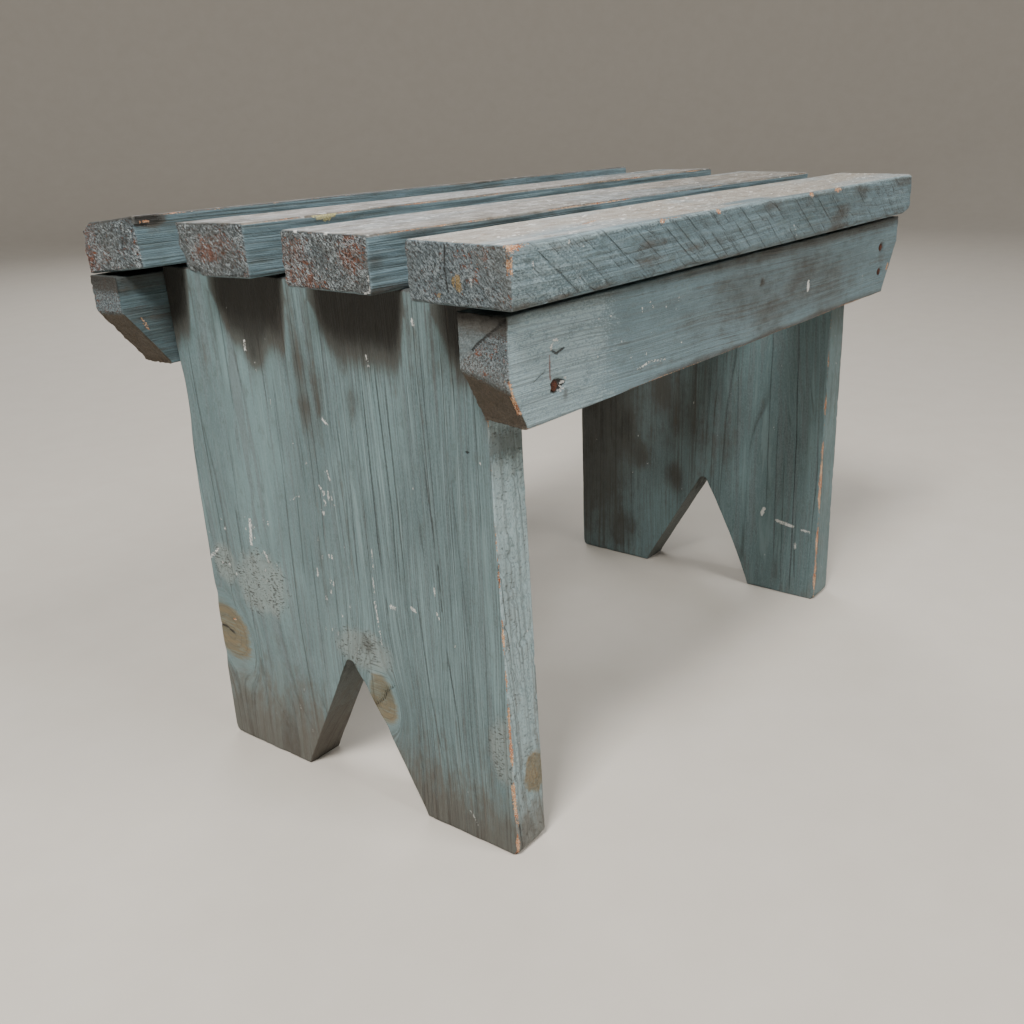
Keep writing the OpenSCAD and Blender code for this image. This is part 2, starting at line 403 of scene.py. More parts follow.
class Shader:
    """Builds one material's nodes."""

    def __init__(self, name):
        self.material = bpy.data.materials.new(name)
        self.material.use_nodes = True
        self.tree = self.material.node_tree
        self.tree.nodes.clear()

    def node(self, kind, inputs, output=0, **settings):
        """Adds a node, links or sets its inputs, and returns one of its outputs."""
        node = self.tree.nodes.new("ShaderNode" + kind)
        for name, value in settings.items():
            setattr(node, name, value)
        for name, value in inputs.items():
            if isinstance(value, bpy.types.NodeSocket):
                self.tree.links.new(value, node.inputs[name])
            else:
                node.inputs[name].default_value = value
        return node.outputs[output] if node.outputs else None

    def mask(self, name):
        return self.node("Attribute", {}, "Fac", attribute_name=name)

    def vector(self, name):
        return self.node("Attribute", {}, "Vector", attribute_name=name)

    def scaled(self, vector, scale):
        return self.node("VectorMath", {0: vector, 1: scale}, operation="MULTIPLY")

    def noise(self, vector, scale, detail=2.0, roughness=0.5, distortion=0.0):
        return self.node("TexNoise", {"Vector": self.scaled(vector, scale), "Scale": 1.0, "Detail": detail,
                                      "Roughness": roughness, "Distortion": distortion}, "Fac")

    def math(self, operation, first, second=0.0, third=0.0):
        return self.node("Math", {0: first, 1: second, 2: third}, operation=operation)

    def step(self, value, low, high, start=0.0, end=1.0):
        """A smooth step from start to end as value goes from low to high."""
        return self.node("MapRange", {"Value": value, "From Min": low, "From Max": high,
                                      "To Min": start, "To Max": end}, interpolation_type="SMOOTHSTEP")

    def times(self, *factors):
        product = factors[0]
        for factor in factors[1:]:
            product = self.math("MULTIPLY", product, factor)
        return product

    def add(self, value, field, amount):
        """value with amount times the field added."""
        return self.math("MULTIPLY_ADD", field, amount, value)

    def ragged(self, value, field, amount):
        """value made uneven by a noise field, whose middle value is a half."""
        return self.add(value, self.math("SUBTRACT", field, 0.5), amount)

    def mix(self, share, first, second):
        """first where share is 0 and second where it is 1: codes such as 0x5f7e83 or nodes' colours."""
        first, second = (rgb(colour) if isinstance(colour, int) else colour for colour in (first, second))
        return self.node("Mix", {0: share, 6: first, 7: second}, 2, data_type="RGBA")

    def finish(self, colour, roughness, height, distance, **constants):
        """The surface's shader, with bump from a height that is 1 for distance."""
        bump = self.node("Bump", {"Height": height, "Strength": 1.0, "Distance": distance}, "Normal")
        inputs = {"Base Color": colour, "Roughness": roughness, "Normal": bump}
        inputs.update({name.replace("_", " "): value for name, value in constants.items()})
        surface = self.node("BsdfPrincipled", inputs)
        self.node("OutputMaterial", {"Surface": surface})
        return self.material


def painted_wood(name, paint, paint_pale, paint_dark, dirt, lines, saw_stretch):
    """Old paint over raised grain, rubbed away on the top, with grime in the hollows.

    dirt is how strong the grime is and lines how strongly the growth rings show. saw_stretch shapes the
    saw marks of the ends: long streaks near 0, round spots at 1.
    """
    s = Shader(name)
    wood = s.vector("wood")
    growth = s.vector("growth")
    end = s.mask("sawn_end")
    along = s.math("SUBTRACT", 1.0, end)

    # Grain: fibres, strands, growth rings with a sharp dark side, and patches of several sizes
    fibre = s.noise(growth, (0.012, 1.7, 0.5), 3.0, 0.68)
    raised = s.mask("raised")
    open_line = s.ragged(s.math("ABSOLUTE", s.mask("line_gap")), s.noise(wood, (0.6, 1.2, 1.2)), 0.5)
    open_line = s.times(s.step(open_line, 0.42, 0.12), s.mask("line_depth"))
    strand = s.noise(growth, (0.006, 0.62, 0.12), 3.0, 0.60)
    speckle = s.noise(wood, (0.9, 1.5, 1.5), 3.0, 0.65)
    grit = s.noise(wood, (2.2, 3.4, 3.4), 2.0, 0.6)
    patches = s.noise(wood, (0.013, 0.028, 0.028), 3.0, 0.6)
    mottle = s.noise(wood, (0.09, 0.16, 0.16), 5.0, 0.75)
    sway = s.noise(growth, (0.004, 0.10, 0.02), 2.0, 0.5)
    rings = s.add(s.times(sway, 4.0), s.node("SeparateXYZ", {0: growth}, "Y"), 0.34)
    phase = s.math("FRACT", rings)
    ring_line = s.times(s.step(phase, 0.0, 0.04), s.step(phase, 0.14, 0.05))
    ring_line = s.times(ring_line, s.step(strand, 0.45, 0.60))
    ring_line = s.times(ring_line, lines, along)
    ridge = s.step(phase, 0.55, 0.98)
    furrow = s.step(fibre, 0.485, 0.40)

    # Paint
    colour = s.mix(s.step(patches, 0.38, 0.62), paint, paint_pale)
    colour = s.mix(s.step(mottle, 0.47, 0.32, 0.0, 0.60), colour, paint_dark)
    pale_fibre = s.times(s.step(fibre, 0.52, 0.66), s.add(0.15, raised, 0.35))
    colour = s.mix(pale_fibre, colour, 0x95AAAD)
    # Pale paint, with the painted highlight along the slats' top front edges and painted sheen towards the
    # front rail's near end
    pale_field = s.ragged(s.mask("pale"), mottle, 1.3)
    pale_field = s.ragged(pale_field, speckle, 2.2)
    colour = s.mix(s.step(pale_field, 0.55, 1.10, 0.0, 0.65), colour, 0xA3B7BC)
    grained = s.add(1.0, s.mask("kerf"), -0.72)
    grime = s.times(furrow, s.step(mottle, 0.30, 0.60, 0.55 * dirt, 1.0 * dirt))
    grime = s.times(grime, grained)
    colour = s.mix(s.times(grime, along), colour, 0x3F433D)
    colour = s.mix(s.times(s.step(strand, 0.45, 0.33), 0.45 * dirt, grained), colour, 0x47504D)
    colour = s.mix(s.times(furrow, raised, 0.30, grained), colour, 0x333B3A)
    colour = s.mix(s.times(ring_line, 0.75), colour, 0x2C312E)
    colour = s.mix(s.times(open_line, 0.80), colour, 0x2B302E)

    # Saw kerfs that slant across a face: bands with a fine dark edge, and fine scratches along them
    slant = s.node("VectorMath", {0: wood, 1: (0.57, 0, 0.82)}, "Value", operation="DOT_PRODUCT")
    slope = s.node("VectorMath", {0: wood, 1: (0.82, 0, -0.57)}, "Value", operation="DOT_PRODUCT")
    kerf_place = s.node("CombineXYZ", {0: slant, 1: s.times(slope, 0.05)})
    wobble = s.noise(kerf_place, (0.05, 0.6, 1.0), 2.0, 0.5)
    kerf_phase = s.math("FRACT", s.add(s.times(wobble, 2.0), slant, 0.16))
    kerf_show = s.times(s.mask("kerf"), s.step(mottle, 0.38, 0.60, 0.3, 1.0))
    kerf = s.times(s.step(kerf_phase, 0.0, 0.02), s.step(kerf_phase, 0.10, 0.03))
    kerf = s.times(kerf, s.times(kerf_show, s.step(strand, 0.38, 0.56)))
    band = s.times(s.step(kerf_phase, 0.95, 0.20), kerf_show)
    scratches = s.noise(kerf_place, (1.5, 1.6, 1.0), 3.0, 0.65)
    scratch = s.times(s.step(scratches, 0.46, 0.34), s.times(kerf_show, 0.50))
    pale_scratch = s.times(s.step(scratches, 0.58, 0.70), s.times(kerf_show, 0.45))
    colour = s.mix(s.times(band, 0.34), colour, 0x42494A)
    colour = s.mix(s.times(kerf, 0.42), colour, 0x2B2F2F)
    fuzz = s.times(s.step(speckle, 0.46, 0.36), s.times(kerf_show, 0.62))
    colour = s.mix(fuzz, colour, 0x3A4141)
    pale_fuzz = s.times(s.step(speckle, 0.54, 0.64), s.times(kerf_show, 0.35))
    colour = s.mix(pale_fuzz, colour, 0x8CA2AC)
    colour = s.mix(scratch, colour, 0x3A4244)
    colour = s.mix(pale_scratch, colour, 0x8FA4AE)

    # Grime in the hollows of the saw marks and a pale rub on their ridges
    relief = s.ragged(s.mask("relief"), fibre, 1.6)
    relief = s.ragged(relief, speckle, 0.9)
    colour = s.mix(s.times(s.step(relief, 0.40, 1.00), 0.50), colour, 0x424643)
    colour = s.mix(s.times(s.step(relief, 0.18, -0.30), 0.30), colour, 0x93A7AE)

    # Torn grain: a grey bloom with short dark pits across the grain
    tears = s.noise(wood, (1.45, 0.55, 0.55), 2.0, 0.6)
    torn = s.mask("torn")
    clumps = s.times(s.step(torn, 0.10, 0.60), s.step(mottle, 0.42, 0.56))
    tear = s.times(clumps, s.step(s.add(tears, torn, 0.05), 0.60, 0.68))
    bloom = s.ragged(torn, mottle, 1.6)
    colour = s.mix(s.step(bloom, 0.15, 1.10, 0.0, 0.62), colour, 0x8E9793)
    colour = s.mix(s.times(tear, 0.80), colour, 0x3A3935)

    # Rubbed top: paint worn thin to a warm grey, cooler where more paint is left
    rub = s.ragged(s.mask("worn"), strand, 0.8)
    rub = s.ragged(rub, fibre, 0.6)
    top = s.mix(s.step(patches, 0.42, 0.60), 0x9A9387, 0x929A9B)
    top = s.mix(s.step(fibre, 0.50, 0.36, 0.0, 0.65), top, 0x6B665E)
    top = s.mix(s.step(strand, 0.52, 0.70, 0.0, 0.45), top, 0xB9B6AD)
    top = s.mix(s.step(mottle, 0.52, 0.64, 0.0, 0.70), top, 0x7B7469)
    top = s.mix(s.step(mottle, 0.46, 0.34, 0.0, 0.40), top, 0xA9AFAF)
    top = s.mix(s.step(speckle, 0.60, 0.67, 0.0, 0.60), top, 0xD8D7D0)
    flecks = s.noise(wood, (0.26, 0.55, 0.55), 1.0, 0.5)
    top = s.mix(s.step(flecks, 0.32, 0.27, 0.0, 0.60), top, 0x9C7458)
    top = s.mix(s.step(flecks, 0.67, 0.71), top, 0xEDECE7)
    top = s.mix(s.step(speckle, 0.41, 0.33, 0.0, 0.60), top, 0x6B6F6E)
    colour = s.mix(s.step(rub, 0.30, 0.62), colour, top)

    # Sawn ends: dark saw furrows, pale fibre tips and rust-coloured bare furrows
    across = s.node("VectorMath", {0: wood, 1: (0, 0.70, -0.71)}, "Value", operation="DOT_PRODUCT")
    down = s.node("VectorMath", {0: wood, 1: (0, 0.71, 0.70)}, "Value", operation="DOT_PRODUCT")
    saw_place = s.node("CombineXYZ", {0: across, 1: s.times(down, saw_stretch)})
    saw = s.noise(saw_place, (1.45, 1.45, 1.45), 3.0, 0.75, 0.35)
    tips = s.noise(wood, (0.5, 2.1, 2.1), 4.0, 0.8)
    end_colour = s.mix(s.step(saw, 0.38, 0.56), 0x3A4041, 0x78858A)
    end_colour = s.mix(s.step(patches, 0.40, 0.60, 0.0, 0.35), end_colour, 0x7A756A)
    rust_field = s.add(s.mask("rust"), s.math("SUBTRACT", 0.5, saw), 2.4)
    rust_field = s.ragged(rust_field, tips, 1.6)
    rust_colour = s.mix(s.step(tips, 0.42, 0.58), 0x54301C, 0xA4582A)
    end_colour = s.mix(s.step(rust_field, 0.42, 0.66, 0.0, 0.85), end_colour, rust_colour)
    pale_tips = s.ragged(tips, saw, 0.9)
    pale_tips = s.ragged(pale_tips, mottle, 0.7)
    hairy = s.mask("hairy")
    pale_tips = s.step(pale_tips, 0.54, 0.64, 0.0, 1.0)
    pale_tips = s.times(pale_tips, s.add(0.40, hairy, 0.60))
    end_colour = s.mix(pale_tips, end_colour, 0xC0CACC)
    end_colour = s.mix(s.step(tips, 0.46, 0.37, 0.0, 0.90), end_colour, 0x1F1E1C)
    saw_line = s.noise(saw_place, (2.5, 2.2, 1.0), 2.0, 0.6, 0.2)
    saw_line = s.times(s.step(saw_line, 0.48, 0.42), s.times(hairy, 0.85))
    end_colour = s.mix(saw_line, end_colour, 0x1B1A19)
    colour = s.mix(s.times(end, 0.94), colour, end_colour)
    sawn_off = s.mix(s.step(speckle, 0.35, 0.65), 0x3E362C, 0x564C3F)
    sawn_off = s.mix(s.step(tips, 0.46, 0.34, 0.0, 0.5), sawn_off, 0x2A2520)
    colour = s.mix(s.times(s.mask("sawn_off"), 0.95), colour, sawn_off)

    # Stains, painted shade under the slats and the seat, and the dust that clings near the floor
    stained = s.ragged(s.mask("stain"), strand, 0.9)
    stained = s.ragged(stained, mottle, 1.0)
    colour = s.mix(s.step(stained, 0.15, 1.1, 0.0, 0.80), colour, 0x3F382F)
    colour = s.mix(s.step(stained, 1.05, 1.9, 0.0, 0.75), colour, 0x1D1B18)
    dust = s.ragged(s.mask("dust"), strand, 1.8)
    dust = s.ragged(dust, mottle, 1.6)
    colour = s.mix(s.step(dust, 0.10, 1.10, 0.0, 0.80), colour, 0x5B544A)
    foot_line = s.times(s.step(strand, 0.50, 0.38), s.step(dust, 0.0, 0.7, 0.0, 0.60))
    colour = s.mix(foot_line, colour, 0x3E362D)

    # Knots: a pale ring of paint, then rings of olive and ochre with some paint left on them
    knot_field = s.mask("knot")
    knot = s.ragged(knot_field, mottle, 0.9)
    knot = s.ragged(knot, speckle, 0.35)
    turns = s.math("FRACT", s.add(s.times(knot_field, 4.0), mottle, 2.2))
    knot_colour = s.mix(s.step(mottle, 0.36, 0.62), 0x5C543D, 0x7B6846)
    knot_colour = s.mix(s.step(turns, 0.30, 0.0, 0.0, 0.55), knot_colour, 0x453F2F)
    knot_colour = s.mix(s.step(speckle, 0.50, 0.66, 0.0, 0.50), knot_colour, 0x768177)
    colour = s.mix(s.times(s.step(knot, -0.40, -0.10), 0.20), colour, 0x748D90)
    colour = s.mix(s.step(knot, -0.06, 0.22, 0.0, 0.85), colour, knot_colour)

    # Bare wood
    bare_field = s.ragged(s.mask("bare"), speckle, 2.4)
    bare = s.step(bare_field, -0.02, 0.12)
    timber = s.mix(s.step(mottle, 0.40, 0.60), 0x9C5D3A, 0xC29873)
    timber = s.mix(s.step(grit, 0.53, 0.63), timber, 0xE6D7C2)
    colour = s.mix(bare, colour, timber)

    # Cracks, splats and blobs of other paint
    ragged = s.math("SUBTRACT", speckle, 0.5)
    crack = s.step(s.add(s.mask("crack"), ragged, 0.9), -0.1, 0.25)
    colour = s.mix(s.times(crack, 0.85), colour, 0x22201C)
    splat = s.step(s.add(s.mask("splat"), ragged, 3.0), 0.0, 0.25)
    colour = s.mix(s.times(splat, 0.9), colour, 0xDCDDD9)
    blob = s.step(s.add(s.mask("blob"), ragged, 3.2), 0.0, 0.25)
    yellow = s.mix(s.step(grit, 0.42, 0.54), 0x9A8F52, 0xCBC694)
    ochre = s.mix(s.step(grit, 0.44, 0.58), 0x6E5A36, 0xC2A264)
    colour = s.mix(s.times(blob, 0.80), colour, s.mix(end, yellow, ochre))
    streak = s.step(s.add(s.mask("streak"), ragged, 1.0), -0.2, 0.3)
    colour = s.mix(s.times(streak, 0.80), colour, 0x6B4136)

    # Relief and gloss
    height = s.times(fibre, 0.60)
    height = s.times(height, s.add(0.8, raised, 0.7))
    height = s.add(height, strand, 0.45)
    height = s.add(height, ridge, 0.08 * lines)
    height = s.times(height, along)
    height = s.add(height, grit, 0.10)
    height = s.add(height, speckle, 0.22)
    height = s.add(height, ring_line, -0.35)
    height = s.add(height, open_line, -0.5)
    height = s.add(s.add(height, scratch, -0.35), kerf, -0.25)
    height = s.add(height, band, -0.25)
    height = s.add(height, tear, -0.7)
    rough_end = s.add(s.times(saw, 0.6), tips, 1.3)
    rough_end = s.add(rough_end, saw_line, -0.5)
    smooth_cut = s.math("SUBTRACT", 1.0, s.times(s.mask("sawn_off"), 0.85))
    height = s.add(height, rough_end, s.times(end, smooth_cut))
    height = s.add(height, crack, -0.8)
    height = s.add(height, bare, -0.35)
    height = s.add(height, splat, 0.20)
    height = s.add(height, blob, 0.25)
    roughness = s.step(mottle, 0.3, 0.7, 0.44, 0.62)
    roughness = s.add(roughness, end, 0.25)
    roughness = s.add(roughness, bare, 0.20)
    return s.finish(colour, roughness, height, 0.0012, Specular_IOR_Level=0.40)


def rusty_iron():
    s = Shader("rusty_iron")
    place = s.scaled(s.node("TexCoord", {}, "Object"), (1000, 1000, 1000))
    flakes = s.noise(place, (1.4, 1.4, 1.4), 4.0, 0.7)
    pits = s.noise(place, (4, 4, 4), 3.0, 0.6)
    colour = s.mix(s.step(flakes, 0.4, 0.62), 0x2B1B16, 0x6A3B2A)
    colour = s.mix(s.step(pits, 0.60, 0.72), colour, 0xB0805E)
    roughness = s.step(flakes, 0.3, 0.7, 0.55, 0.9)
    return s.finish(colour, roughness, pits, 0.0004, Metallic=0.35)


slat_paint = painted_wood("slat_paint", 0x556A71, 0x687F88, 0x46514F, dirt=0.85, lines=0.2,
                           saw_stretch=0.32)
rail_paint = painted_wood("rail_paint", 0x5A7077, 0x6B848D, 0x4C5B5B, dirt=0.45, lines=0.3,
                           saw_stretch=0.75)
leg_paint = painted_wood("leg_paint", 0x5B7072, 0x6C8486, 0x4C5B59, dirt=0.62, lines=0.8,
                          saw_stretch=0.75)
iron = rusty_iron()

# ---------------------------------------------------------------- slats

SLATS = ("front_slat", "front_middle_slat", "back_middle_slat", "back_slat")
ALONG = (1, 0, 0)
UP = (0, 0, 1)


def make_slat(node, seed, radius, details):
    """A rough-sawn slat with a rubbed top. radius says how round its edges are, details has its marks."""
    def detail(name, default):
        return details.get(name, default)

    def nothing(*_):
        return 0.0

    slat = Plank(node, ALONG, UP, seed, steps=(2.0, 0.75, 0.6))
    la, lb, lc = slat.size
    slat.round_edges(radius(slat.nominal, slat.size), 9)
    a, b, c, end = slat.a, slat.b, slat.c, slat.end
    top = smooth(c, lc - 1.6, lc - 0.2)
    front, back = smooth(b, 1.2, 0.2), smooth(b, lb - 1.2, lb - 0.2)
    side = np.maximum(front, back) * (1 - end)
    # Slanting saw marks on the front, level ones in the gaps
    slant = np.stack([(a * 0.57 + c * 0.82), b * 0, (c * 0.57 - a * 0.82) * 0.1], -1)
    kerf = 0.5 + 0.7 * noise(slant, (3.0, 1, 6), seed + 4, 2)
    level = 0.5 + 0.6 * noise(slat.points, (22, 3, 1.1), seed + 5, 2)
    share = detail("slanting", 0.25)
    relief = (0.35 * kerf + 0.45 * level) * share + (1 - share) * level
    # Saw marks from corner to corner of the ends
    skew = np.stack([a * 0, (b - c) * 0.71, (b + c) * 0.71], -1)
    tufts = 0.5 + 0.6 * noise(skew, (1, 1.2, 4), seed + 6, 2)
    tufts += 0.4 * noise(slat.points, (9, 0.9, 0.9), seed + 12)
    hollow = 0.12 * (1 + noise(slat.points, (50, 8, 8), seed + 7, 2))
    splinter = smooth(noise(slat.points, (8, 2, 3), seed + 8, 2), -0.1, 0.7)
    splinter = splinter * np.exp(-np.maximum(c, 0) / 1.3) * side
    wear = edge_wear(slat, detail("wear", 0.46), seed + 9)
    wear = np.maximum(wear, detail("bare", unchipped)(a, b, c, top, end))
    chips = smooth(wear, -0.2, 0.5)
    # Painted highlight along the top front edge, drawn as a pale strip
    edge_highlight = np.exp(-slat.edge_gap() / 1.1) * smooth(c, lc - 5, lc - 1) * smooth(b, 5, 1) * (1 - end)
    slat.press(0.5 * relief * side + detail("tufts", 0.85) * tufts * end + hollow * top + 0.6 * chips
               + splinter * detail("splinters", 0.8))
    set_grain(slat, detail("pith", (lb * 0.5, -35)))
    # Paint left on the top, grime and rust
    worn = detail("rubbed", 0.72) + 0.35 * noise(slat.points, (70, 14, 10), seed + 10, 2)
    worn = top * worn * (1 - end)
    # The rub stops short of the top front edge, so the painted highlight there shows
    worn = worn * (1 - detail("kept_rim", 0) * np.exp(-slat.edge_gap() / 1.6) * smooth(b, 4, 1.5))
    stain = 0.5 * smooth(noise(slat.points, (26, 10, 8), seed + 11, 2), 0.0, 0.9) * (1 - top)
    stain += top * detail("grey_top", 0.0)
    stain += 0.35 * smooth(c, 3.5, 0.5) * side + detail("stain", nothing)(a, b, c)
    bare = np.where(c > lc * 0.55, wear + detail("top_wear", 0.35) * (1 - end), wear - 0.40)
    rust = detail("rust", nothing)(b, c) * slat.near_half
    rust = rust + 0.28 * smooth(noise(slat.points, (5, 6, 6), seed + 13, 2), 0.1, 0.8)
    # Marks: on the top, the front and the near end
    near_end = end * slat.near_half
    flecks = spread(seed + 14, 70, (0, la), (1, lb - 1), (0.6, 2.2))
    splat = marks(a, b, top, flecks + detail("top_splats", []))
    splat = np.maximum(splat, marks(a, c, front * (1 - top), detail("front_splats", [])))
    splat = np.maximum(splat, marks(b, c, near_end, detail("end_splats", [])))
    crack = marks(b, c, near_end, detail("end_cracks", []))
    crack = np.maximum(crack, marks(a, c, front, detail("front_cracks", [])))
    blob = marks(b, c, near_end, detail("end_spots", []))
    blob = np.maximum(blob, marks(a, c, front, detail("front_blobs", [])))
    line_gap, line_depth = saw_lines(slat, detail("saw_lines", ()))
    # Pale paint on the front, and the painted highlight along the top front edge
    pale = front * detail("pale", even_pale)(a) + detail("edge_highlight_strength", 0.3) * edge_highlight
    set_masks(slat, worn=worn, bare=bare, stain=stain, rust=rust, splat=splat, crack=crack, blob=blob,
              pale=pale, line_gap=line_gap, line_depth=line_depth * front * (1 - end),
              hairy=np.full(len(a), detail("hairy", 1.0)), relief=(relief - 0.1) * side,
              raised=0.5 * side, kerf=front * (1 - end) * share)
    slat.build(slat_paint)


def unchipped(a, b, c, top, end):
    return OUTSIDE


def even_pale(a):
    return 0.25


def even_edges(place, size):
    return np.full(len(place), 1.1)


def far_end_worn(place, size):
    """The far end's corners are worn round."""
    end = smooth(place[:, 0], size[0] - 14, size[0] - 4)
    return 1.1 + 3.2 * end * smooth(place[:, 1], 9, 2)


def waney_back(place, size):
    """The lower back edge follows the bark."""
    low = smooth(place[:, 2], size[2] * 0.55, size[2] * 0.4)
    return 1.1 + 3.4 * smooth(place[:, 1], size[1] - 12, size[1] - 8) * low


def round_back(place, size):
    """The upper outer edge is worn round."""
    high = smooth(place[:, 2], size[2] * 0.5, size[2] * 0.7)
    return 1.1 + 3 * smooth(place[:, 1], size[1] - 9, size[1] - 4) * high


def front_slat_bare(a, b, c, top, end):
    """Chips at the near top front corner, along the top front edge and a scratch on the top."""
    corner = 1.2 - np.sqrt((a / 7) ** 2 + (b / 2.2) ** 2 + ((20.5 - c) / 1.8) ** 2)
    upright = 0.5 - np.abs(c - 14) / 6 + 0.7 * noise(np.stack([c, c * 0, c * 0], -1), (2, 1, 1), 5)
    upright = np.where(a + b < 2.5, upright, OUTSIDE)
    corner = np.maximum(corner, upright)
    scratch = stroke(a, b, [(57, 17.5), (63, 16.8), (80, 22)], 1.6) * 0.8
    edge = np.full(len(a), OUTSIDE)
    for place, reach in ((137, 1.8), (229, 2.4), (260, 4), (93, 1.6)):
        chip = 1 - np.sqrt(((a - place) / reach) ** 2 + (b / 1.5) ** 2 + ((20 - c) / 1.8) ** 2)
        edge = np.maximum(edge, chip)
    return np.maximum(np.maximum(corner * 0.8, np.where(top > 0.5, scratch, OUTSIDE)), edge)


# Each board's own marks, in mm on that board: (a, c) on a slat's front, (a, b) on its top and (b, c) on its
# near end. A mark is a stroke, (width, point, point, ...), or a patch, (centre, radii, strength or turn).
FRONT_SLAT = {
    "slanting": 0.9,
    "stain": lambda a, b, c: 0.30 * smooth(a, 50, 150) * smooth(b, 3, 1),
    "tufts": 0.5,
    "hairy": 0.15,
    "saw_lines": (23, 34, 46, 57, 68, 73, 79, 84, 90, 97, 104, 113, 122, 135, 149, 158, 177, 190),
    "wear": 0.36,
    "top_wear": 0.0,
    # A strong painted highlight along the top front edge, with the rub stopping short of it
    "edge_highlight_strength": 1.9,
    "kept_rim": 0.9,
    "pale": lambda a: 0.25 + 0.55 * smooth(a, 90, 10),
    "splinters": 1.3,
    "pith": (60, 45),
    "bare": front_slat_bare,
    "front_splats": [(0.8, (13.7, 17.8), (12.5, 14.5), (11.6, 11.6)), (1.0, (32.3, 19.4), (32.3, 17.8)),
                     (0.9, (39.2, 19.3)), (0.7, (40.4, 16.3)), (0.7, (36.8, 8.4), (38.4, 5.9)),
                     (0.7, (93.2, 6.6), (93.5, 8.5)), (0.8, (214.8, 2.0), (212, 5), (209.7, 7.6)),
                     (0.8, (131.8, 20)), (0.9, (231, 20))],
    "top_splats": [(1.5, (36.7, 33.9)), (1.0, (32.3, 49.7)), (1.4, (25.8, 28.3)), (1.0, (39.4, 19.4)),
                   (1.6, (58, 17.6), (62, 16.5)), (1.2, (20.3, 40)), (1.3, (318, 24)), (1.2, (330, 30))],
    "end_cracks": [(1.0, (27, 19.5), (27.6, 12), (27, 4))],
    "end_spots": [(2.4, (22.3, 9.4), (22.0, 6.0)), (1.3, (24.4, 9.2), (24.0, 6.6)), (1.2, (20.6, 5.2)),
                  (0.9, (31.2, 2.3), (31, 3.6))],
    "end_splats": [(0.9, (16.6, 9.3), (16.5, 7.0))],
    "rust": lambda b, c: 0.02 + 0.22 * smooth(np.hypot(b - 17, c - 16), 9, 2),
}
FRONT_MIDDLE_SLAT = {
    "wear": 0.50,
    "grey_top": 0.68,
    "bare": lambda a, b, c, top, end: np.where(
        end > 0.5, stroke(b, c, [(0.8, 7.0), (1.2, 1.4), (3.8, 0.6)], 0.5), OUTSIDE),
    "end_splats": [(0.9, (0.7, 6.4), (1.2, 4.6)), (1.1, (0.8, 3.0), (1.0, 1.2)),
                   (1.0, (1.4, 0.9), (3.6, 0.5))],
    "stain": lambda a, b, c: 0.8 * smooth(np.hypot((a - 4) / 9, (c - 11) / 7), 1, 0.0) * smooth(b, 3, 1),
    "rust": lambda b, c: (0.10 + 0.42 * smooth(b + 0.5 * (20 - c), 28, 40) * smooth(c, 21, 14)
                          + 0.42 * smooth(np.hypot(b - 8, c - 14), 11, 3)),
    "top_splats": [(1.6, (124, 13)), (1.8, (265, 19.5), (268, 20)), (1.5, (118, 19))],
}
BACK_MIDDLE_SLAT = {
    "wear": 0.48,
    "grey_top": 0.78,
    "rust": lambda b, c: 0.08 + 0.42 * smooth(np.hypot((b - 20 + (c - 10) * 0.5) / 2, c - 11), 9, 2),
    "front_blobs": [(2.0, (36.5, 20.3), (49, 20.3)), (2.0, (38.5, 19.0), (47, 19.0)),
                    (1.2, (41, 17.8), (45, 17.8))],
}
BACK_SLAT = {
    "wear": 0.42,
    "grey_top": 1.0,
    "rubbed": 0.42,
    "rust": lambda b, c: 0.10 + 0.36 * smooth(b, 24, 34),
    "bare": lambda a, b, c, top, end: np.where(b < 3, stroke(a, c, [(4, 18.0), (9, 17.9)], 0.2), OUTSIDE),
    "front_cracks": [(1.5, (3, 19.4), (12, 19.0)), (1.0, (1.5, 16.8), (7, 16.4))],
    "stain": lambda a, b, c: (1.7 * smooth(np.hypot((a - 8) / 11, (c - 18.5) / 3.4), 1, 0.4)
                              * smooth(b, 6, 2)),
}

make_slat("front_slat", 1, far_end_worn, FRONT_SLAT)
make_slat("front_middle_slat", 21, even_edges, FRONT_MIDDLE_SLAT)
make_slat("back_middle_slat", 41, waney_back, BACK_MIDDLE_SLAT)
make_slat("back_slat", 61, round_back, BACK_SLAT)

# ---------------------------------------------------------------- rails

# How high the nails are on the rails
HEADS_B = (12.2, 25.7)


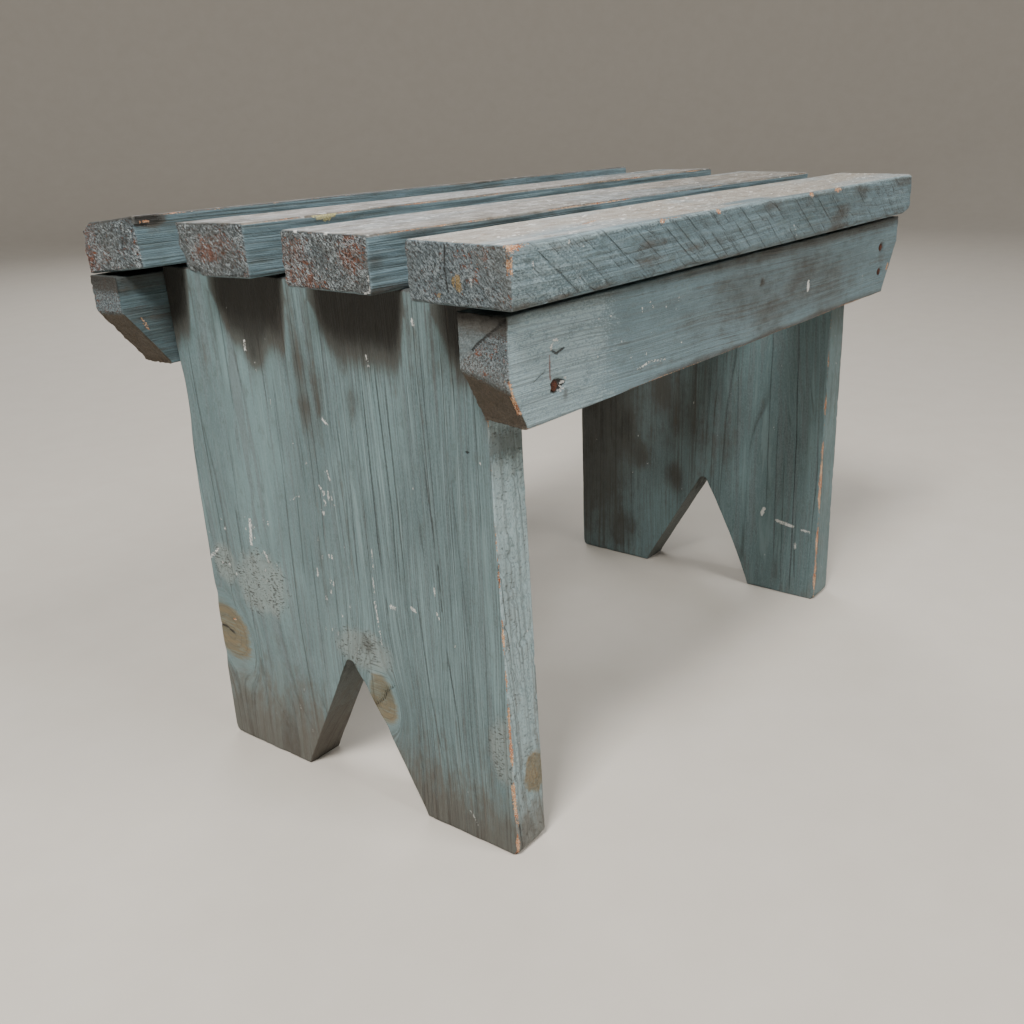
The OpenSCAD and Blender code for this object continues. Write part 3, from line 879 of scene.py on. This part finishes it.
def make_rail(node, seed, details):
    """A planed rail, with smooth worn faces and rough sawn corners."""
    heads = (details["heads_a"], HEADS_B, ())
    rail = Plank(node, ALONG, (0, -1, 0), seed, heads, (2.0, 0.8, 0.7), shaped_start=True, shaped_end=True)
    _, lb, lc = rail.size
    rail.round_edges(0.9, 3)
    a, b, c, end = rail.a, rail.b, rail.c, rail.end
    outer = smooth(c, lc - 1, lc - 0.2) if details["outer_high"] else smooth(c, 1, 0.2)
    inner = (1 - outer) * (1 - end)
    skew = np.stack([a * 0, (b - c) * 0.71, (b + c) * 0.71], -1)
    tufts = 0.5 + 0.5 * noise(skew, (1, 1.3, 1.6), seed + 5, 2)
    tufts += 0.3 * noise(rail.points, (9, 0.9, 0.9), seed + 12)
    waves = 0.10 * (1 + noise(rail.points, (60, 7, 7), seed + 6, 2)) * (1 - end)
    ripple = (0.5 + 0.5 * noise(rail.points, (30, 2.0, 3), seed + 7, 2)) * inner * details["rough_inside"]
    wear = edge_wear(rail, 0.34, seed + 8)
    wear = np.maximum(wear, details["bare"](a, b, c, outer, end))
    streak = marks(a, b, outer, details.get("streaks", []))
    hole = pits(rail, a, b, outer, details["pits"])
    rail.press(0.6 * tufts * end + waves + 0.6 * ripple + hole + 0.5 * smooth(wear, -0.2, 0.5))
    set_grain(rail, (-30, lc / 2), sway=4)
    stain = 0.25 * smooth(noise(rail.points, (40, 14, 14), seed + 10, 2), 0.1, 0.9)
    for centre, radii, strength in details["stains"]:
        stain = stain + strength * smooth(ellipse(a, b, centre, radii), 0, 0.9) * outer
    # Nail pits are dark. Painted shade runs along the top, under the slats' overhang, and deeper down the
    # cut end; the inner face, under the seat, gets painted shade with some grime.
    stain += 0.9 * smooth(hole, 0.6, 1.4) + 0.55 * smooth(b, lb - 7, lb - 1)
    stain += 0.9 * end * smooth(b, lb - 14, lb - 2) + details["inside_shade_and_grime"] * inner
    grime_top = 4 + 2 * noise(rail.points, (22, 9, 9), seed + 15)
    stain += 0.6 * outer * smooth(b, grime_top, 0.5) * smooth(a, 45, 110)
    splat = marks(a, b, outer, details["splats"])
    crack = marks(a, b, outer, details["cracks"])
    crack = np.maximum(crack, marks(b, c, end * rail.near_half, details["end_cracks"]))
    rust = 0.15 + 0.40 * smooth(noise(rail.points, (3, 3, 3), seed + 13, 2), 0.2, 0.8)
    fibrous = smooth(details["split"](b, c), -1, 1)
    torn = 0.25 * smooth(noise(rail.points, (24, 7, 7), seed + 14, 2), 0.45, 0.9) * outer
    set_masks(rail, bare=wear, stain=stain, splat=splat, crack=crack, rust=rust * fibrous, torn=torn,
              streak=streak, end_share=1 - 0.55 * (1 - fibrous), raised=np.full(len(a), 0.35),
              relief=ripple * 0.9, pale=outer * details["pale"](a, b),
              sawn_off=end * np.maximum(smooth(rail.cut_off, 0.5, 1.5), 0.35 * (1 - fibrous)))
    rail.build(rail_paint)


def front_rail_bare(a, b, c, outer, end):
    """Cream chips down the outer edge of the near cut, and a chip on the far cut."""
    near = np.where((a < 14) & (c > 19.5), stroke(a, b, [(0.6, 18.7), (2.8, 12), (6.0, 6.5)], 1.2), OUTSIDE)
    far = np.where(a > 345, stroke(a, b, [(352.5, 15), (351.5, 12.5)], 2.2), OUTSIDE)
    lower = 0.45 * noise(np.stack([a, b, c], -1), (26, 3, 3), 77, 2) + 0.15 - np.hypot(b, 22 - c) / 1.6
    return np.maximum(np.maximum(near, far), lower)


FRONT_RAIL = {
    "outer_high": True,
    "rough_inside": 0.5,
    "inside_shade_and_grime": 0.2,
    "heads_a": (26.2, 340.2),
    "pits": [(27.6, 12.2, 0, 2.8, 1.5, 1.7), (27.6, 25.4, 1.8, 2.6, 0.35, 1.7),
             (340.2, 12.2, 0, 2.6, 0.9, 1.4), (340.2, 25.7, 0, 3.0, 1.1, 1.5)],
    "bare": front_rail_bare,
    "stains": [((160, 24), (34, 18), 0.12), ((128, 14), (20, 20), 0.08), ((188, 26.5), (2.2, 2.6), 1.6),
               ((260, 20), (140, 40), 0.5), ((150, 20), (110, 40), 0.48), ((32, 7.9), (3.2, 4.2), 0.8),
               ((340, 20), (8, 12), 0.25), ((26.2, 12.2), (3.6, 3.4), 1.2)],
    "splats": [(3.0, (240.7, 19.2), (240.9, 16)), (1.1, (313.9, 14), (314.2, 11.5)),
               (0.7, (112.6, 31.9), (109.7, 26.3)), (0.7, (88.2, 33.2), (91.8, 29.7)),
               (0.6, (83.4, 31), (84, 28.8)), (0.6, (100.5, 31), (102.5, 26)),
               (0.8, (80.2, 7.4), (90, 8.6), (102.1, 7.2)), (0.9, (25.0, 28.4), (28.6, 28.2)),
               (1.3, (24.2, 25.4), (24.9, 26.9)), (1.0, (30.4, 11.6), (32.6, 14.2)),
               (0.8, (28.6, 9.6), (31.4, 10.6)), (0.7, (151, 12.4)), (0.6, (62, 33)),
               *spread(5, 16, (5, 130), (4, 38), (0.3, 0.9))],
    "cracks": [(0.7, (13, 15.8), (21.1, 18.9)), (0.8, (67.1, 19.2)), (0.9, (168.3, 33.2)),
               (1.6, (28.6, 13.6), (31.5, 12.6), (29.4, 10.8)),
               (1.0, (23.8, 25.4), (27.4, 23.4), (31.6, 24.6))],
    "streaks": [(1.1, (22.8, 23.6), (23.0, 19), (23.2, 14.5))],
    "end_cracks": [(1.1, (39.5, 21.5), (36, 17.5), (33, 13), (30.5, 9.5), (28, 6.6))],
    "split": lambda b, c: (c - 6.6) * 0.77 - (b - 28),
    # An even pale tone, with painted sheen towards the near end
    "pale": lambda a, b: smooth(a, 95, 40) * 0.9 + 0.1,
}
BACK_RAIL = {
    "outer_high": False,
    "rough_inside": 1.0,
    "inside_shade_and_grime": 0.45,
    "heads_a": (35.2, 349.2),
    "pits": [(a, b, 0, 2.6, 1.0, 1.3) for a in (35.2, 349.2) for b in HEADS_B],
    "bare": lambda a, b, c, outer, end: np.where(
        (a < 30) & (c > 12), stroke(a, b, [(9, 22), (12, 17)], 1.2), OUTSIDE),
    "stains": [((120, 20), (40, 14), 0.5)],
    "splats": spread(6, 14, (5, 360), (4, 38), (0.4, 1.1)),
    "cracks": [],
    "end_cracks": [],
    "split": lambda b, c: 5 + 0 * b,
    "pale": lambda a, b: 0 * a + 0.3,
}

make_rail("front_rail", 81, FRONT_RAIL)
make_rail("back_rail", 101, BACK_RAIL)

# ---------------------------------------------------------------- legs

def make_leg(node, seed, details):
    """A leg plank. c is high on the face that looks towards the near end of the stool."""
    leg = Plank(node, UP, (-1, 0, 0), seed, steps=(1.5, 1.15, 0.9), shaped_start=True, shaped_edges=True)
    la, lb, lc = leg.size
    leg.round_edges(1.0, 3)
    a, b, c, end = leg.a, leg.b, leg.c, leg.end
    near = smooth(c, lc - 1.2, lc - 0.2)
    front = smooth(leg.nominal[:, 1], 1.2, 0.2)
    wear = edge_wear(leg, 0.28, seed + 8)
    wear = np.maximum(wear, details["bare"](a, b, c, leg.nominal))
    torn = np.zeros(len(a))
    for centre, radii, turn in details["torn"]:
        torn = np.maximum(torn, smooth(ellipse(a, b, centre, radii, turn), 0.0, 0.6) * near)
    torn = np.clip(torn + 0.5 * smooth(noise(leg.points, (9, 5, 5), seed + 7, 2), 0.4, 1) * torn, 0, 1)
    waves = 0.14 * (1 + noise(leg.points, (90, 7, 7), seed + 6, 2))
    bumps = smooth(noise(leg.points, (2.2, 3.0, 2.4), seed + 9), 0.15, 0.9)
    rough = bumps * np.maximum(0.4 * torn, 0.5 * front)
    torn = np.maximum(torn, 0.36 * front * details["pale_front"])
    splits = smooth(noise(leg.points, (4, 1.8, 1.4), seed + 12, 2), 0.0, 0.8)
    rough += 1.6 * splits * end * smooth(a, 50, 62) * leg.near_half
    knot = np.full(len(a), OUTSIDE)
    dish = np.zeros(len(a))
    for centre, radii, turn in details["knots"]:
        here = ellipse(a, b, centre, radii, turn)
        knot = np.maximum(knot, np.where(c > lc * 0.5, here, here - 0.2))
        dish = np.maximum(dish, 0.5 * smooth(here, -0.5, -0.1) - 0.35 * smooth(here, -0.1, 0.2))
    for centre, radii in details["edge_knots"]:
        here = ellipse(a, c, centre, radii)
        knot = np.maximum(knot, np.where(front > 0.5, here, OUTSIDE))
    dent = sum(deep * np.exp(-(((a - place) / reach) ** 2)) * smooth(leg.nominal[:, 1], lb - 3, lb)
               for place, reach, deep in details["dents"])
    crack = marks(a, b, near, details["cracks"])
    crack = np.maximum(crack, marks(a, c, front, details["edge_cracks"]))
    leg.press(waves + rough + np.maximum(dish, 0) + dent
              + 0.5 * smooth(wear, -0.2, 0.5) + 0.5 * smooth(crack, -0.2, 0.4))
    set_grain(leg, details["pith"], details["knots"])
    stain = 0.3 * smooth(noise(leg.points, (50, 25, 25), seed + 10, 2), 0.2, 0.9)
    stain += 0.45 * smooth(a, la - 70, la)
    # Painted shade, with some grime, that hangs down under each slat's overhang
    for slat in SLATS:
        low, high = (corner[1] / MM - leg.low[1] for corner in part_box(slat))
        shade_under_slat = smooth(b, low - 2, low + 7) * smooth(b, high + 13, high - 8)
        stain += 2.0 * shade_under_slat * smooth(a, la - 40 * shade_under_slat - 1, la - 8) * near
    dust = details["dust"](a, b)
    blots = 1 + details["blots"] * noise(leg.points, (16, 7, 7), seed + 14, 2)
    for centre, radii, strength in details["stains"]:
        stain = stain + strength * smooth(ellipse(a, b, centre, radii), 0, 0.9) * near * blots
    line_gap, line_depth = grain_lines(leg, details["lines"], seed + 16, 14)
    splat = marks(a, b, near, details["splats"])
    splat = np.maximum(splat, marks(a, c, front, spread(seed + 15, 10, (10, 190), (2, lc - 2), (0.4, 0.9))))
    set_masks(leg, bare=wear, stain=stain, splat=splat, knot=knot, torn=torn, crack=crack,
              sawn_off=0.6 * end * smooth(leg.cut_off, 0.5, 3) * leg.near_half,
              relief=0.2 * front * (0.5 + 0.6 * noise(leg.points, (4, 3, 3), seed + 11, 2)),
              pale=0.15 * near + details["pale_front"] * front,
              line_gap=line_gap, line_depth=line_depth, raised=details["raised"](b) * (1 - front),
              dust=dust, end_share=1 - 0.65 * smooth(leg.cut_off, 0.5, 3))
    leg.build(leg_paint)


def left_leg_bare(a, b, c, nominal):
    """Broken paint down the front edge of the outer face, and spots on the back knot."""
    runs = noise(np.stack([a, b * 0, c * 0], -1), (9, 1, 1), 33, 3)
    strength = 0.32 + 0.20 * smooth(a, 90, 60) + 0.8 * runs - 0.5 * smooth(a, 150, 190)
    edge = strength - np.hypot(nominal[:, 1], 20 - c) / 1.1
    foot = stroke(a, c, [(37, 20), (16, 18.6)], 0.9)
    foot = np.where(nominal[:, 1] < 2, foot, OUTSIDE)
    spot = np.where(c > 18, stroke(a, b, [(68.8, 176.7), (69.5, 176)], 2.0), OUTSIDE)
    return np.maximum(np.maximum(edge, foot), spot)


def right_leg_bare(a, b, c, nominal):
    """Bare wood low on the front edge of the near face."""
    edge = 0.3 + 0.6 * smooth(a, 100, 50) + 0.7 * noise(np.stack([a, b * 0, c * 0], -1), (14, 1, 1), 35, 2)
    return edge - np.hypot(nominal[:, 1], 20 - c) / 1.4


LEFT_LEG = {
    "pith": (150, -55),
    "knots": [((62, 181), (18, 14.5), 28), ((56, 75.3), (13, 9.3), 12)],
    "edge_knots": [((36, 5), (11, 8))],
    "torn": [((95, 150), (24, 28), 20), ((78, 84), (15, 26), 0), ((52, 5), (24, 11), 0),
             ((100, 175), (16, 12), 0)],
    "dents": [(180, 14, 1.8)],
    "bare": left_leg_bare,
    "cracks": [(1.5, (63.2, 190), (63.4, 184), (61, 178)),
               (1.5, (52, 80), (54.5, 77), (57, 74.5), (61, 72.5), (65.3, 67)), (1.8, (181.9, 14.4))],
    "lines": [(1.0, (215, 66.5), (174, 66.9), (132, 67.6), (100, 66)),
              (0.8, (211, 58.8), (180, 58), (145, 57.3), (118, 58.5)),
              (1.0, (203, 37.6), (165, 36.5), (134, 34.5), (95, 33.4), (60, 30)),
              (0.5, (190, 84), (150, 83.5), (120, 86)), (0.4, (200, 120), (160, 121)),
              (0.5, (178, 24), (90, 20)), (0.7, (120, 48), (70, 45), (35, 41)),
              (0.6, (45, 140), (12, 122)), (0.6, (40, 160), (15, 141)), (0.6, (46, 120), (20, 108)),
              (0.7, (60, 52), (35, 55), (10, 52)), (0.6, (45, 34), (5, 30)), (0.6, (50, 24), (8, 22))],
    "raised": lambda b: 0.25 + 0.75 * smooth(b, 105, 80),
    "blots": 0.9,
    "pale_front": 1.05,
    "edge_cracks": [(0.9, (16, 17.6), (0, 17))],
    "stains": [((203, 130), (20, 9), 0.6), ((192, 98), (32, 14), 0.7), ((191, 73), (14, 7), 0.5),
               ((110, 105), (26, 8), 0.5), ((150, 85), (30, 8), 0.4), ((82, 78), (14, 20), 0.5)],
    "dust": lambda a, b: 0.95 * smooth(a, 46 + 0.18 * b, -12) + 0.30 * smooth(a, 90, 20),
    "splats": [(1.3, (211.3, 135.2), (207.2, 135.4)), (1.2, (224.6, 143.5)), (0.9, (217.5, 91.6)),
               (1.3, (183.9, 92.7), (181.3, 89.6)), (1.0, (213, 62.7), (208, 62)), (1.2, (194.6, 51)),
               (1.2, (153.2, 99.8), (150, 97)), (1.2, (142, 99.9), (140, 99)),
               (0.8, (152, 94.7), (148, 95)), (1.9, (127.5, 150.9), (114.9, 152.9)),
               (0.5, (142.6, 121.1), (146.5, 112.5)), (1.2, (113.2, 143.8), (108, 142)),
               (1.6, (106.7, 179.1), (100.9, 186)), (0.9, (202.4, 56.9)),
               (1.8, (228.5, 36.5), (227, 36.4)), (2.0, (105.6, 61), (105.2, 64)),
               (1.8, (107.9, 51.1), (107.0, 49.5)), (1.0, (109.4, 37), (106, 35.6)),
               (0.8, (121, 37.7), (117, 37)), (0.7, (131.3, 71.3), (118, 72.5), (106.6, 73.5)),
               (0.9, (106.6, 73.5), (95, 72.6), (85.2, 72.2)), (0.7, (13.9, 26.5), (7.3, 22.2)),
               *spread(9, 40, (70, 170), (85, 110), (0.3, 1.1)),
               *spread(10, 30, (90, 130), (130, 185), (0.3, 1.2)),
               *spread(12, 40, (20, 225), (5, 185), (0.2, 0.8))],
}
RIGHT_LEG = {
    "pith": (40, -70),
    "knots": [],
    "edge_knots": [],
    "torn": [],
    "dents": [(140, 20, 0.8)],
    "bare": right_leg_bare,
    "cracks": [],
    "lines": [(1.0, (225, 24), (169.5, 23), (104, 19.5), (3, 18.2)), (0.6, (180, 40), (60, 38)),
              (0.6, (150, 62), (70, 60)), (0.6, (120, 33), (20, 31)), (0.5, (200, 80), (110, 82)),
              (0.6, (90, 27), (5, 25)), (0.5, (170, 110), (90, 112))],
    "raised": lambda b: 0.3 + 0 * b,
    "blots": 0.05,
    "pale_front": 0.35,
    "edge_cracks": [],
    # The last two are painted shade, with some grime, over the back and middle of this face, under the seat
    "stains": [((126.6, 118), (22, 12), 0.6), ((93, 147), (24, 10), 0.6), ((77, 134), (14, 10), 0.5),
               ((18, 149), (24, 22), 0.5), ((66, 107), (16, 10), 0.6), ((21, 55), (12, 9), 0.5),
               ((14, 29), (12, 9), 0.5), ((110, 180), (190, 75), 1.35), ((120, 100), (150, 60), 0.6)],
    "dust": lambda a, b: 0.4 * smooth(a, 30, -8),
    "splats": [(2.4, (56.7, 39.3), (52, 41)), (2.2, (50, 30), (48.1, 18.4)), (1.6, (47, 12), (46.3, 6.9)),
               (1.0, (57.7, 56.4)), (1.4, (37, 16.1), (33, 16)), (0.9, (28.1, 25)),
               *spread(13, 30, (10, 225), (5, 180), (0.2, 0.8))],
}

make_leg("left_leg", 121, LEFT_LEG)
make_leg("right_leg", 141, RIGHT_LEG)

# ---------------------------------------------------------------- nails

HEAD_RADIUS = 2.1
SHANK_RADIUS = 1.3


def nail_outline(length, head_radius, shank_radius):
    """Profile of a nail from the middle of its head to its point, as (radius, depth)."""
    head = [(0, 0), (head_radius * 0.55, 0.05), (head_radius * 0.9, 0.2), (head_radius, 0.5),
            (head_radius * 0.96, 0.9), (shank_radius * 1.3, 1.25)]
    shank = [(shank_radius, 1.9), (shank_radius, length * 0.5), (shank_radius, length - 4.5)]
    return head + shank + [(shank_radius * 0.6, length - 1.6), (0.12, length)]


def make_nails(node, seed):
    """Rusty, slightly battered nails where the CAD nails are."""
    draw = np.random.default_rng(seed)
    turns = 24
    vertices, faces = [], []
    for centre, axis, low, high in split_nails(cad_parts[node].data):
        length = high - low
        side = np.cross(axis, (0.3, 0.5, 0.81))
        side /= np.linalg.norm(side)
        other = np.cross(axis, side)
        sink = draw.uniform(0.0, 0.5)
        outline = nail_outline(length, HEAD_RADIUS, SHANK_RADIUS)
        base = len(vertices)
        for radius, depth in outline:
            for turn in range(turns):
                angle = 2 * math.pi * turn / turns
                bent = radius * (1 + 0.07 * draw.uniform(-1, 1) * (depth < 1))
                down = depth + sink * (depth < 1) + 0.10 * draw.uniform(-1, 1) * (0 < depth < 1)
                place = centre + axis * (high - min(down, length))
                place = place + side * bent * math.cos(angle) + other * bent * math.sin(angle)
                vertices.append(tuple(place * MM))
        for ring in range(len(outline) - 1):
            for turn in range(turns):
                following = (turn + 1) % turns
                here = base + ring * turns
                faces.append((here + turn, here + turns + turn, here + turns + following, here + following))
    mesh = bpy.data.meshes.new(node + "_rusty")
    mesh.from_pydata(vertices, [], faces)
    grown = bmesh.new()
    grown.from_mesh(mesh)
    bmesh.ops.remove_doubles(grown, verts=grown.verts, dist=1e-6)
    bmesh.ops.holes_fill(grown, edges=grown.edges)
    bmesh.ops.recalc_face_normals(grown, faces=grown.faces)
    grown.to_mesh(mesh)
    grown.free()
    mesh.polygons.foreach_set("use_smooth", [True] * len(mesh.polygons))
    mesh.materials.append(iron)
    piece = bpy.data.objects.new(node + "_rusty", mesh)
    bpy.context.scene.collection.objects.link(piece)
    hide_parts(node)
    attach(piece, "root")


def split_nails(cad):
    """Centre line, direction to the head, and lowest and highest place along it, of each nail in a node."""
    whole = bmesh.new()
    whole.from_mesh(cad)
    bmesh.ops.remove_doubles(whole, verts=whole.verts, dist=1e-6)
    left = set(whole.verts)
    nails = []
    while left:
        group, edge = set(), {next(iter(left))}
        while edge:
            group |= edge
            edge = {e.other_vert(v) for v in edge for e in v.link_edges} - group
        left -= group
        place = np.array([v.co for v in group]) / MM
        middle = place.mean(0)
        axis = np.linalg.svd(place - middle)[2][0]
        run = (place - middle) @ axis
        across = place - middle - np.outer(run, axis)
        reach = np.linalg.norm(across, axis=1)
        if (reach * (run > 0)).max() < (reach * (run < 0)).max():
            axis, run = -axis, -run
        centre = middle + (across.max(0) + across.min(0)) / 2
        nails.append((centre, axis, run.min(), run.max()))
    whole.free()
    return sorted(nails, key=lambda nail: tuple(nail[0].round(3)))


for seed, node in enumerate(sorted(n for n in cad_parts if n.endswith("_nails"))):
    make_nails(node, seed + 200)

# ---------------------------------------------------------------- stage


def make_stage():
    """A pale floor that curves up into a wall, far away all round the stool."""
    s = Shader("pale_floor")
    place = s.node("TexCoord", {}, "Object")
    fleck = s.noise(place, (30, 30, 30), 3.0, 0.6)
    colour = s.mix(fleck, 0xC3BCB1, 0xCBC5BB)
    material = s.finish(colour, 0.9, fleck, 0.0002)
    reach, rise, bend, sides = 3.4, 2.4, 1.0, 72
    profile = [(0.5, 0.0), (reach - bend, 0.0)]
    for turn in np.radians(range(10, 91, 10)):
        profile.append((reach - bend + bend * math.sin(turn), bend - bend * math.cos(turn)))
    profile.append((reach, rise))
    corners = [(0.0, 0.0, 0.0)]
    for radius, height in profile:
        turns = [2 * math.pi * n / sides for n in range(sides)]
        corners += [(radius * math.cos(t), radius * math.sin(t), height) for t in turns]
    faces = [(0, 1 + n, 1 + (n + 1) % sides) for n in range(sides)]
    for ring in range(len(profile) - 1):
        first = 1 + ring * sides
        for n in range(sides):
            after = (n + 1) % sides
            faces.append((first + n, first + sides + n, first + sides + after, first + after))
    mesh = bpy.data.meshes.new("floor")
    mesh.from_pydata(corners, [], faces)
    mesh.polygons.foreach_set("use_smooth", [True] * len(faces))
    mesh.materials.append(material)
    floor = bpy.data.objects.new("floor", mesh)
    bpy.context.scene.collection.objects.link(floor)


def make_light(name, place, target, size, power, colour):
    light = bpy.data.lights.new(name, "AREA")
    light.size = size
    light.energy = power
    light.color = colour
    lamp = bpy.data.objects.new(name, light)
    lamp.location = place
    lamp.rotation_euler = (Vector(target) - Vector(place)).to_track_quat("-Z", "Y").to_euler()
    bpy.context.scene.collection.objects.link(lamp)


make_stage()
make_light("left key", (-1.05, -0.35, 1.55), (-0.05, 0, 0.2), 0.45, 42, (1.0, 0.985, 0.96))
make_light("back fill", (1.1, 1.3, 1.2), (0, 0, 0.12), 1.0, 15, (0.98, 0.99, 1.0))
make_light("front key", (0.0, -1.25, 1.45), (0, 0, 0.15), 0.6, 21, (1.0, 0.99, 0.975))
world = bpy.data.worlds.new("world")
world.use_nodes = True
world.node_tree.nodes["Background"].inputs["Color"].default_value = (0.95, 0.96, 1.0, 1)
world.node_tree.nodes["Background"].inputs["Strength"].default_value = 0.14
bpy.context.scene.world = world

# ---------------------------------------------------------------- camera

camera = bpy.data.cameras.new("camera")
camera.lens = CAMERA_LENS
camera.sensor_width = 36
camera.shift_x, camera.shift_y = CAMERA_SHIFT
viewer = bpy.data.objects.new("camera", camera)
right, up = Vector(CAMERA_RIGHT), Vector(CAMERA_UP)
axes = Matrix((right, up, right.cross(up))).transposed()
viewer.matrix_world = Matrix.Translation(CAMERA_PLACE) @ axes.to_4x4()
bpy.context.scene.collection.objects.link(viewer)
bpy.context.scene.camera = viewer
